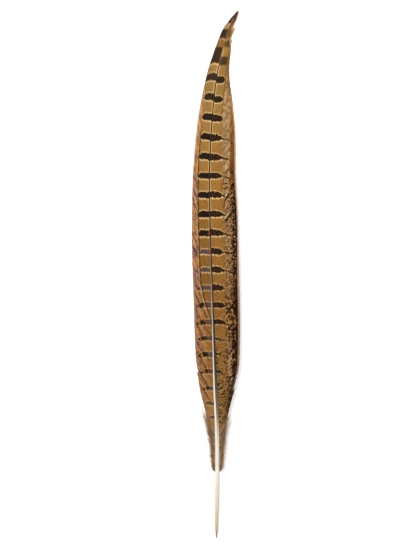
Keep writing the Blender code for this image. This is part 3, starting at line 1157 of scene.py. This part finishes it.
def wide_tip(v, bars, colour, back):
    """The crowded bars at the tip of the wide vane, kept off its edge."""
    dark = v.tip_bars(
        back,
        (
            (0.0, 1.0), (5.0, 1.0), (7.0, 0.7), (11.5, 0.6), (13.0, 0.05), (16.4, 0.05),
            (17.8, 0.6), (23.4, 0.55), (24.8, 0.0), (26.6, 0.0), (28.0, 0.8), (32.2, 0.75),
            (33.6, 0.0), (41.2, 0.0), (42.2, 0.85), (49.0, 0.9), (50.2, 0.0),
        ),
    )
    off_edge = v.most(v.step(v.from_edge, 0.3, 1.1), v.step(back, 3.0, 5.0, 1.0, 0.0))
    near_shaft = v.most(v.step(v.across, 6.4, 7.2, 1.0, 0.0), v.step(back, 38.0, 40.0, 1.0, 0.0))
    by_shaft = v.mul(v.band(v.across, 0.3, 1.2, 0.3), v.step(back, 24.0, 28.0, 0.8, 0.0))
    outer_streak = v.mul(v.band(v.across, 7.4, 8.4, 0.3), v.stretch(449.0, 461.0, 2.0), 0.8)
    dark = v.most(v.mul(dark, off_edge, near_shaft), v.most(by_shaft, outer_streak))
    return v.over(colour, v.colours.bar_tip, dark, bars.not_started)


def wide_tip_edge(v, colour):
    """The brown line along the upper edge, and the tan notched one above it."""
    brown = v.mul(v.step(v.from_edge, 0.4, 1.7, 0.75, 0.0), v.lengthwise(456.0, 464.0, 1.0, 0.0))
    colour = v.over(colour, srgb(146, 88, 38), brown, v.lengthwise(405.0, 430.0))
    tan = v.mul(v.step(v.from_edge, 0.9, 1.9, 0.75, 0.0), v.stretch(462.0, 489.0, 3.0))
    return v.over(colour, srgb(198, 150, 94), tan)


def parting_shadows(v, colour):
    """Painted shadows where barbs part, some with a painted highlight on the barb beside them."""
    for at, start, end, shine in PARTING_SHADOWS:
        if shine:
            # Painted highlight on the barb beside the gap.
            pale = v.barb_line(at + 2.6, start, end - 2.0, 1.1)
            colour = v.over(colour, srgb(214, 180, 136), pale, shine)
        colour = v.over(colour, srgb(16, 10, 7), v.barb_line(at, start, end, 1.2), 0.97)
    return colour


def wide_vane_material(colours):
    """Gold with spindle bars, then speckled buff, blotched rufous and a pale rim."""
    material, surface = new_material("wide_vane", VANE_ROUGHNESS, VANE_SHINE)
    v = Vane(material.node_tree, colours)
    lag = v.course(
        (
            (90, 0.0), (335, 0.0), (355, 0.9), (375, 1.2), (400, 1.2), (431, 2.6), (445, 2.5),
            (500, 0.0),
        ),
        0.0, 3.0,
    )
    stagger = v.noise(v.across, 0.42, v.along, 0.05, 51.0, 1.0, 0.5)
    stagger = v.mul(v.sub(stagger, 0.5), v.lengthwise(190.0, 208.0, 14.0, 0.0))
    back = v.add(v.back_from_tip(lag), stagger)
    bars = Bars(v, back)
    gold_ends = v.course(
        (
            (90, 4.0), (120, 7.5), (160, 10.4), (200, 11.5), (240, 12.3), (340, 12.4),
            (360, 11.7), (378, 10.7), (396, 9.5), (415, 8.5), (440, 8.7), (500, 8.7),
        ),
        0.0, 14.0,
    )
    past_gold = v.sub(v.across, gold_ends)
    blotched_from = v.course(
        (
            (90, 5.0), (120, 8.5), (150, 13.5), (185, 14.6), (215, 17.6), (250, 19.0),
            (320, 19.4), (378, 17.6), (415, 15.6), (440, 9.6), (500, 9.0),
        ),
        0.0, 20.0,
    )
    swing = v.course(((90, 14.0), (240, 12.0), (340, 9.0), (410, 6.0), (500, 3.0)), 0.0, 15.0)
    wander = v.mul(v.sub(v.noise(v.root, 0.30, 3.0, 1.0, 0.0, 3.0, 0.65), 0.45), swing)
    blotched_from = v.add(blotched_from, wander)
    into_blotches = v.sub(v.across, blotched_from)
    fine = v.spots(0.6, 0.75, 2.0)
    clouds = v.spots(0.30, 0.42, 27.0, roughness=0.5)
    blotch = v.spots(0.22, 0.32, 9.0, 3.0, 0.62)
    fleck = v.spots(0.45, 0.6, 12.0, roughness=0.55)
    patchy = v.spots(0.30, 0.36, 33.0, 3.0, 0.68)

    ground = wide_ground(v, past_gold, fine, clouds)
    ground = v.over(ground, outer_zone(v, blotch, fleck), v.step(into_blotches, -0.5, 0.7))
    dotted = v.mul(v.band(into_blotches, -0.6, 0.7, 0.4), v.step(fine, 0.49, 0.53))
    ground = v.over(ground, SOOT, dotted, v.lengthwise(340.0, 400.0, 0.9, 0.0))
    ground = low_mottles(v, ground, gold_ends, wander, fine, patchy)
    strip = v.mul(v.band(v.from_edge, 2.8, 4.4, 0.5), v.stretch(240.0, 400.0, 25.0))
    ground = v.over(ground, srgb(146, 92, 44), strip, v.step(blotch, 0.44, 0.50, 0.4, 0.0))
    low_streak = v.mul(v.band(v.across, 13.0, 15.5, 1.0), v.stretch(146.0, 182.0, 6.0))
    ground = v.over(ground, srgb(206, 158, 132), low_streak, v.step(fine, 0.47, 0.52, 0.0, 0.85))
    ground = v.beside_shaft(v.shaded(ground), 0.7)
    ground = wide_rim(v, ground, patchy)

    colour = wide_bars(v, bars, ground, gold_ends, blotched_from, fleck)
    colour = wide_tip(v, bars, colour, back)
    colour = v.reddish_end(colour, back)
    colour = wide_tip_edge(v, colour)
    colour = parting_shadows(v, colour)
    v.feed(surface.inputs["Base Color"], v.with_underside(colour))
    return material


def shaft_material(colours):
    """Ivory quill turning to grey and dark horn, with painted shade in the groove along its back
    and on its right side.
    """
    material, surface = new_material("horn", 0.42, 0.2)
    s = Shader(material.node_tree)
    along, aside = s.attribute("along"), s.attribute("aside")
    horn = s.ramp(
        s.math("DIVIDE", along, LENGTH, clamp=True),
        (
            (0.0, srgb(206, 184, 136)), (0.05, srgb(234, 222, 190)), (0.12, colours.ivory),
            (0.32, colours.ivory), (0.42, srgb(224, 220, 206)), (0.48, srgb(170, 166, 152)),
            (0.55, srgb(104, 100, 88)), (0.66, srgb(44, 40, 32)), (0.80, srgb(30, 26, 20)),
            (0.893, srgb(44, 34, 24)), (0.913, srgb(150, 112, 64)), (0.955, srgb(140, 98, 54)),
            (0.97, srgb(96, 66, 40)), (0.976, srgb(154, 130, 100)), (0.984, srgb(128, 98, 70)),
            (0.992, srgb(84, 46, 26)), (1.0, srgb(84, 42, 22)),
        ),
    )
    grain = s.noise(along, 0.06, aside, 3.0, 0.0, 4.0)
    browner = s.mix(0.5, horn, srgb(140, 112, 80))
    horn = s.over(horn, browner, s.step(grain, 0.45, 0.75, 0.0, 0.16))
    left_edge = s.curve(
        along, ((90, 0.1), (140, -0.3), (200, -0.45), (260, -0.4), (330, -0.5)), -1.0, 1.0
    )
    right_edge = s.curve(along, ((90, 0.5), (108, 0.8), (126, 1.3), (260, 1.3)), -1.0, 1.4)
    # Painted shade: the groove along the back and the side right of it, away from the key light,
    # are painted near black, greyer near the quill.
    groove = s.mul(
        s.band(aside, left_edge, right_edge, 0.12), s.step(along, 78.0, 125.0),
        s.step(along, 300.0, 360.0, 1.0, 0.0), 0.96,
    )
    groove_shade_colour = s.mix(s.step(along, 108.0, 165.0), srgb(132, 112, 96), srgb(14, 11, 9))
    horn = s.over(horn, groove_shade_colour, groove)
    # Painted shade: the quill's right side is darker, away from the key light.
    shady = s.mul(s.step(aside, 0.3, 0.95, 0.0, 0.3), s.step(along, 80.0, 140.0, 1.0, 0.0))
    horn = s.over(horn, srgb(170, 150, 124), shady)
    spot = s.mul(s.step(along, 2.0, 12.0, 1.0, 0.0), s.step(aside, -0.3, 0.3))
    horn = s.over(horn, srgb(84, 60, 34), spot, 0.75)
    s.feed(surface.inputs["Base Color"], horn)
    return material


def down_material(colours):
    """Soft tan down with darker wisps."""
    material, surface = new_material("down", 0.8, 0.15)
    s = Shader(material.node_tree)
    out = s.attribute("out")
    wisps = s.noise(s.attribute("root"), 0.28, out, 2.2, 0.0, 2.0, 0.5)
    colour = s.mix(s.step(out, 0.1, 0.8), srgb(212, 178, 134), colours.down)
    colour = s.over(colour, srgb(122, 88, 60), s.step(wisps, 0.46, 0.54, 0.0, 0.75))
    colour = s.over(colour, srgb(176, 136, 96), s.attribute("barb_tint"), 0.6)
    s.feed(surface.inputs["Base Color"], colour)
    return material


def groove_depth(along, aside):
    """How deep the groove along the shaft's back is at one place, as a share of its radius."""
    off = (aside - GROOVE_MIDDLE) / GROOVE_WIDTH
    return GROOVE_DEPTH * smooth(GROOVE_LENGTH, along) * math.exp(-off * off)


class FEATHER_OT_shaft(bpy.types.Operator):
    """Builds the quill and shaft, with the groove along its back"""

    bl_idname = "feather.shaft"
    bl_label = "Build shaft"

    def execute(self, context):
        sizes = context.scene.feather_sizes
        shell = bmesh.new()
        facts = []
        rings = []
        for station in range(sizes.shaft_stations):
            along = LENGTH * (station / (sizes.shaft_stations - 1)) ** RING_CROWDING
            sideways, height = smooth(SHAFT_SIDEWAYS, along), smooth(SHAFT_HEIGHT, along)
            centre = Vector((sideways, along - LENGTH / 2, height))
            radius = smooth(SHAFT_RADIUS, along)
            ring = []
            for side in range(sizes.shaft_sides):
                angle = math.pi + 2 * math.pi * side / sizes.shaft_sides
                aside, upward = math.sin(angle), math.cos(angle)
                depth = groove_depth(along, aside) if upward > 0 else 0.0
                place = centre + radius * Vector((aside, 0.0, upward * (1 - depth)))
                ring.append(shell.verts.new(place * MM))
                facts.append((along, aside))
            rings.append(ring)
        for ring, following in zip(rings[:-1], rings[1:]):
            for side in range(sizes.shaft_sides):
                after = (side + 1) % sizes.shaft_sides
                shell.faces.new((ring[side], ring[after], following[after], following[side]))
        shell.faces.new(rings[0])
        shell.faces.new(rings[-1])
        bmesh.ops.recalc_face_normals(shell, faces=shell.faces)
        mesh = bpy.data.meshes.new("shaft")
        shell.to_mesh(mesh)
        shell.free()
        for number, name in enumerate(("along", "aside")):
            values = mesh.attributes.new(name, "FLOAT", "POINT")
            values.data.foreach_set("value", [fact[number] for fact in facts])
        shaft_map(mesh, sizes.shaft_sides, sizes.shaft_stations)
        mesh.shade_smooth()
        mesh.materials.append(shaft_material(context.scene.feather_colours))
        shaft = bpy.data.objects.new("shaft", mesh)
        context.scene.collection.objects.link(shaft)
        ride_on_frame(shaft)
        return {"FINISHED"}


def barb_settings(sizes, material, **changes):
    """Values for the inputs of a barb tree."""
    settings = {
        "Barbs": sizes.barbs, "Points": sizes.barb_points, "First": FIRST_VANE_BARB,
        "Last": LAST_BARB, "Width": sizes.barb_width, "Depth": sizes.barb_depth,
        "Lock width": sizes.lock_width / MM, "Lift": sizes.lock_lift, "Fluff": 0.0,
        "Spread": 0.0, "Shortest": SHORTEST_VANE_BARB, "Material": material,
    }
    return settings | changes


class FEATHER_OT_vanes(bpy.types.Operator):
    """Lays the barbs of both vanes along the shaft"""

    bl_idname = "feather.vanes"
    bl_label = "Build vanes"

    def execute(self, context):
        sizes, colours = context.scene.feather_sizes, context.scene.feather_colours
        for side, seed, material in (
            ("left", 3, narrow_vane_material(colours)), ("right", 17, wide_vane_material(colours)),
        ):
            tree = barb_tree(f"{side}_vane_barbs", SPLITS[side])
            settings = barb_settings(sizes, material, Seed=seed)
            ride_on_frame(barbs_on(f"{side}_vane", side, tree, settings))
        return {"FINISHED"}


class FEATHER_OT_down(bpy.types.Operator):
    """Adds the down at the base of the vanes"""

    bl_idname = "feather.down"
    bl_label = "Build down"

    def execute(self, context):
        sizes = context.scene.feather_sizes
        material = down_material(context.scene.feather_colours)
        tree = barb_tree("down_barbs", ())
        for side, outward, seed in (("left", -1, 31), ("right", 1, 47)):
            settings = barb_settings(
                sizes, material, Barbs=sizes.down_barbs, First=FIRST_BARB, Last=LAST_DOWN_BARB,
                Width=sizes.down_width, Fluff=sizes.down_fluff,
                Spread=outward * sizes.down_spread, Shortest=SHORTEST_DOWN_BARB, Seed=seed,
            )
            ride_on_frame(barbs_on(f"{side}_down", side, tree, settings))
        return {"FINISHED"}


class FEATHER_OT_stage(bpy.types.Operator):
    """Sets the floor, the soft lights and the camera above the feather"""

    bl_idname = "feather.stage"
    bl_label = "Set stage"

    def execute(self, context):
        stage = context.scene.feather_stage
        bpy.ops.mesh.primitive_plane_add(size=6.0)
        floor = context.object
        floor.name = "floor"
        for corner in floor.data.vertices:
            corner.co.z = -0.0004
        material, surface = new_material("paper_white", 0.9, 0.0)
        surface.inputs["Base Color"].default_value = (0.93, 0.93, 0.93, 1.0)
        surface.inputs["Emission Color"].default_value = (1.0, 1.0, 1.0, 1.0)
        surface.inputs["Emission Strength"].default_value = 0.45
        floor.data.materials.append(material)

        world = bpy.data.worlds.new("soft_sky")
        world.use_nodes = True
        sky = world.node_tree.nodes["Background"]
        sky.inputs["Color"].default_value = (1.0, 1.0, 1.0, 1.0)
        sky.inputs["Strength"].default_value = stage.sky_strength
        context.scene.world = world

        for name, place, size, power in (
            ("key_light", (-0.6, 0.8, 1.25), 0.4, stage.key_strength),
            ("fill_light", (1.2, -0.5, 1.5), 1.6, stage.key_strength * 0.3),
        ):
            light = bpy.data.lights.new(name, "AREA")
            light.size = size
            light.energy = power
            lamp = bpy.data.objects.new(name, light)
            lamp.location = place
            lamp.rotation_euler = (-Vector(place)).to_track_quat("-Z", "Y").to_euler()
            context.scene.collection.objects.link(lamp)

        camera = bpy.data.objects.new("camera", bpy.data.cameras.new("camera"))
        camera.data.sensor_fit = "VERTICAL"
        camera.data.sensor_height = 36.0
        camera.data.lens = 36.0 * stage.camera_height / stage.picture_height
        camera.data.clip_end = 20.0
        camera.location = (stage.picture_x, stage.picture_y, stage.camera_height)
        context.scene.collection.objects.link(camera)
        context.scene.camera = camera
        context.scene.view_settings.view_transform = "Standard"
        return {"FINISHED"}


class FEATHER_PT_panel(bpy.types.Panel):
    """Lists the feather's settings and its steps"""

    bl_idname = "FEATHER_PT_panel"
    bl_label = "Pheasant feather"
    bl_space_type = "VIEW_3D"
    bl_region_type = "UI"
    bl_category = "Feather"

    def draw(self, context):
        for group in (getattr(context.scene, name) for name in GROUPS):
            box = self.layout.box()
            for name in group.__annotations__:
                box.prop(group, name)
        for step in STEPS:
            self.layout.operator(step.bl_idname)


GROUPS = {
    "feather_sizes": FeatherSizes, "feather_colours": FeatherColours, "feather_stage": FeatherStage
}
STEPS = (FEATHER_OT_shaft, FEATHER_OT_vanes, FEATHER_OT_down, FEATHER_OT_stage)


def register():
    for made in (*GROUPS.values(), *STEPS, FEATHER_PT_panel):
        bpy.utils.register_class(made)
    for name, group in GROUPS.items():
        setattr(bpy.types.Scene, name, bpy.props.PointerProperty(type=group))


def unregister():
    for name in GROUPS:
        delattr(bpy.types.Scene, name)
    for made in reversed((*GROUPS.values(), *STEPS, FEATHER_PT_panel)):
        bpy.utils.unregister_class(made)


def main():
    register()
    bpy.ops.feather.shaft()
    bpy.ops.feather.vanes()
    bpy.ops.feather.down()
    bpy.ops.feather.stage()


if __name__ == "__main__":
    main()
